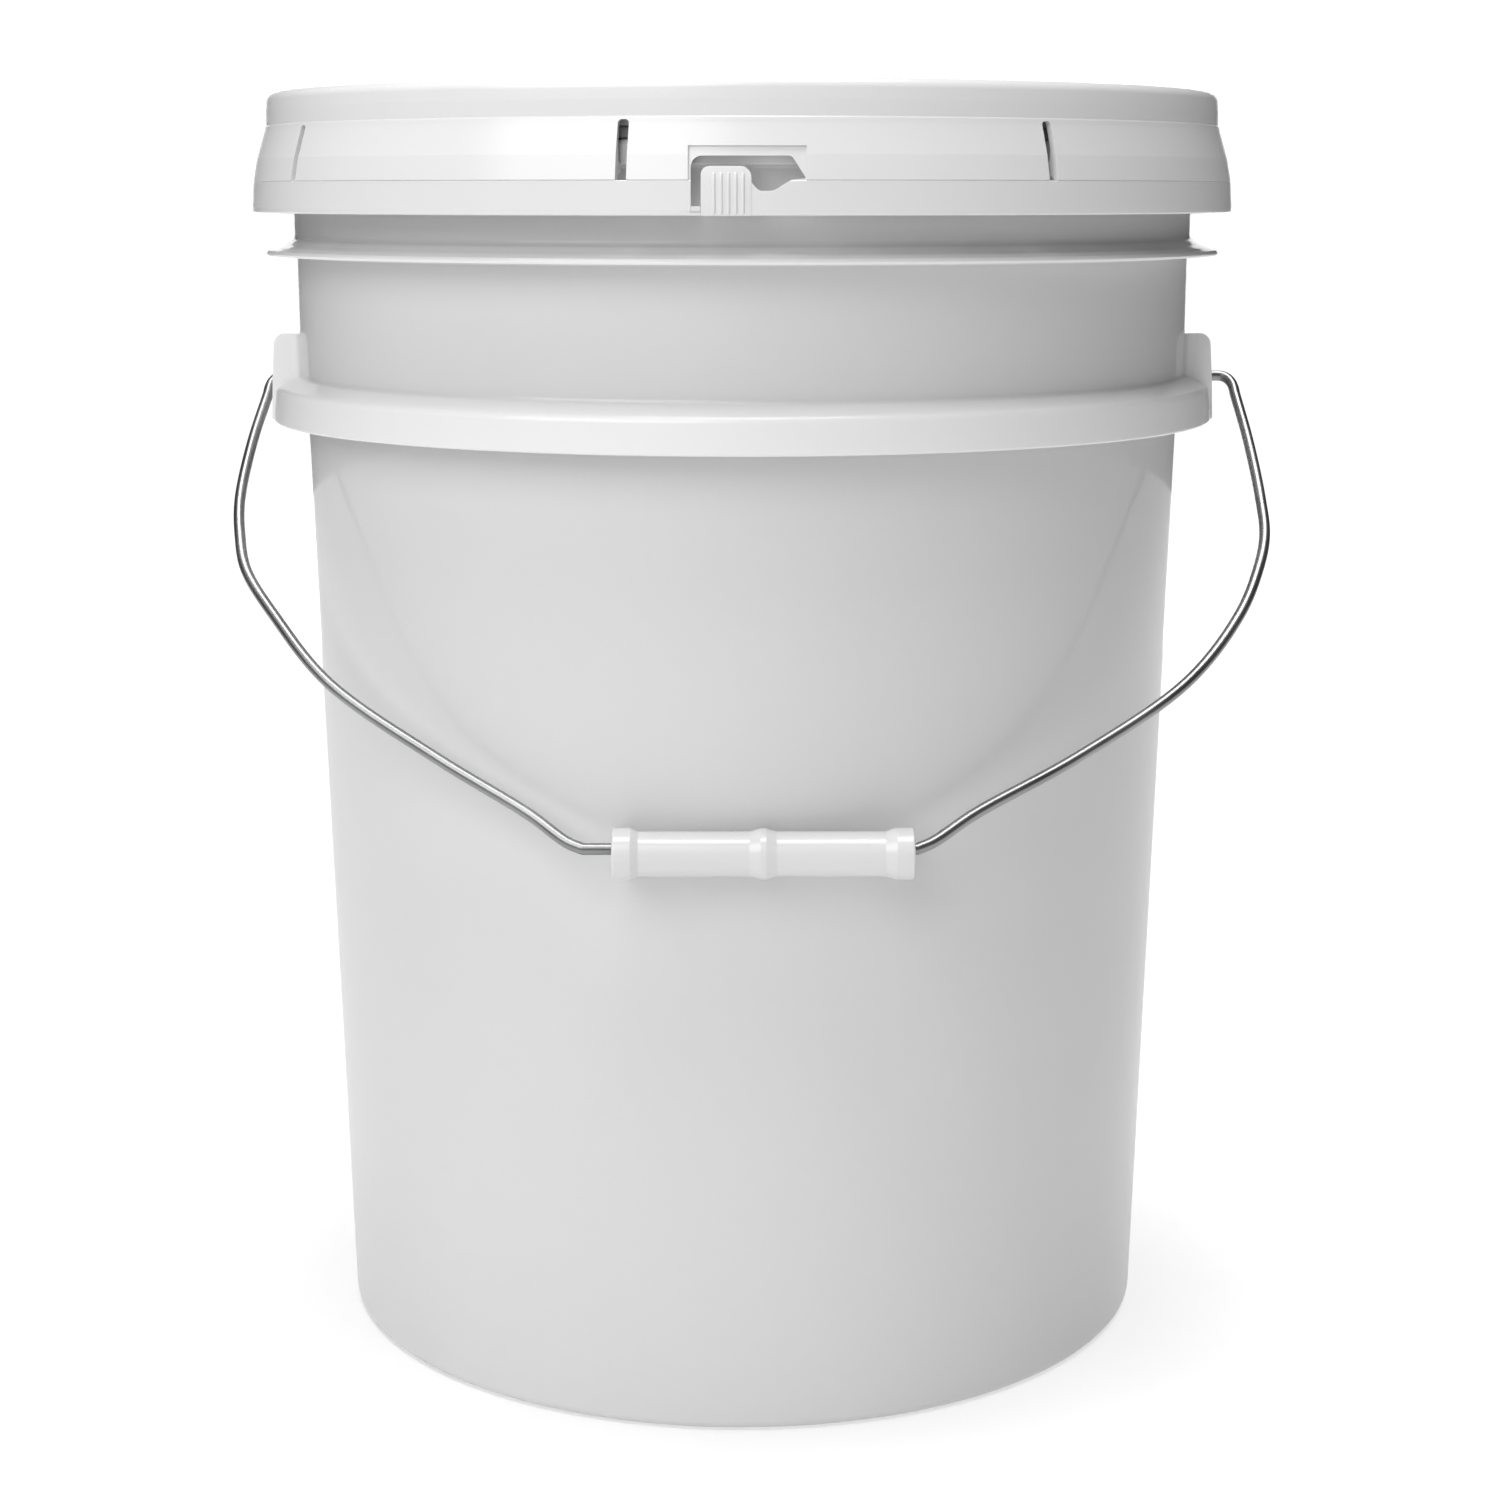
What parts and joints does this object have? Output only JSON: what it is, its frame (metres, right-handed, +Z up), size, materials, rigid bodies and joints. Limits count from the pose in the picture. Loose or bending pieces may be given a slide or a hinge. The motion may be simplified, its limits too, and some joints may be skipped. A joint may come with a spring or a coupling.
{
  "type": "plastic fermenting bucket",
  "caption": "Round white plastic pail with moulded bail ears, tear-strip lid with an airlock grommet, and a wire bail with a plastic grip.",
  "frame": {"origin": "centre of the base, on the floor", "axes": "+Z up; -Y towards the pull tab and the side where the bail lies; +X to the right of a person facing that side"},
  "size_m": [0.3229, 0.3102, 0.3946],
  "materials": {
    "pail_plastic": "white HDPE, satin with a fine grain",
    "lid_plastic": "white HDPE, glossier than the pail",
    "gasket_rubber": "pale grey, matt",
    "grommet_rubber": "black, matt",
    "bail_steel": "bright zinc-plated wire",
    "grip_plastic": "white polyethylene, satin"
  },
  "bodies": {
    "pail": {"pail_body": "pail_plastic"},
    "lid": {"lid": "lid_plastic", "tear_strip": "lid_plastic", "lid_gasket": "gasket_rubber", "airlock_grommet": "grommet_rubber"},
    "pull_tab": {"pull_tab": "lid_plastic"},
    "bail": {"bail_wire": "bail_steel"},
    "grip": {"bail_grip": "grip_plastic"}
  },
  "joints": [
    {"name": "lid_lift", "type": "slide", "parent": "pail", "child": "lid", "axis": [0, 0, 1], "range_m": [0, 0.15]},
    {"name": "tab_hinge", "type": "hinge", "parent": "lid", "child": "pull_tab", "pos_m": [0.0024, -0.15495, 0.3636], "axis": [0, 0, 1], "range_deg": [0, 65]},
    {"name": "bail_swing", "type": "hinge", "parent": "pail", "child": "bail", "pos_m": [0, 0, 0.3059], "axis": [-1, 0, 0], "range_deg": [0, 261.5]},
    {"name": "grip_spin", "type": "hinge", "parent": "bail", "child": "grip", "pos_m": [0.0058, -0.14437, 0.18084], "axis": [1, 0, 0], "continuous": true}
  ]
}
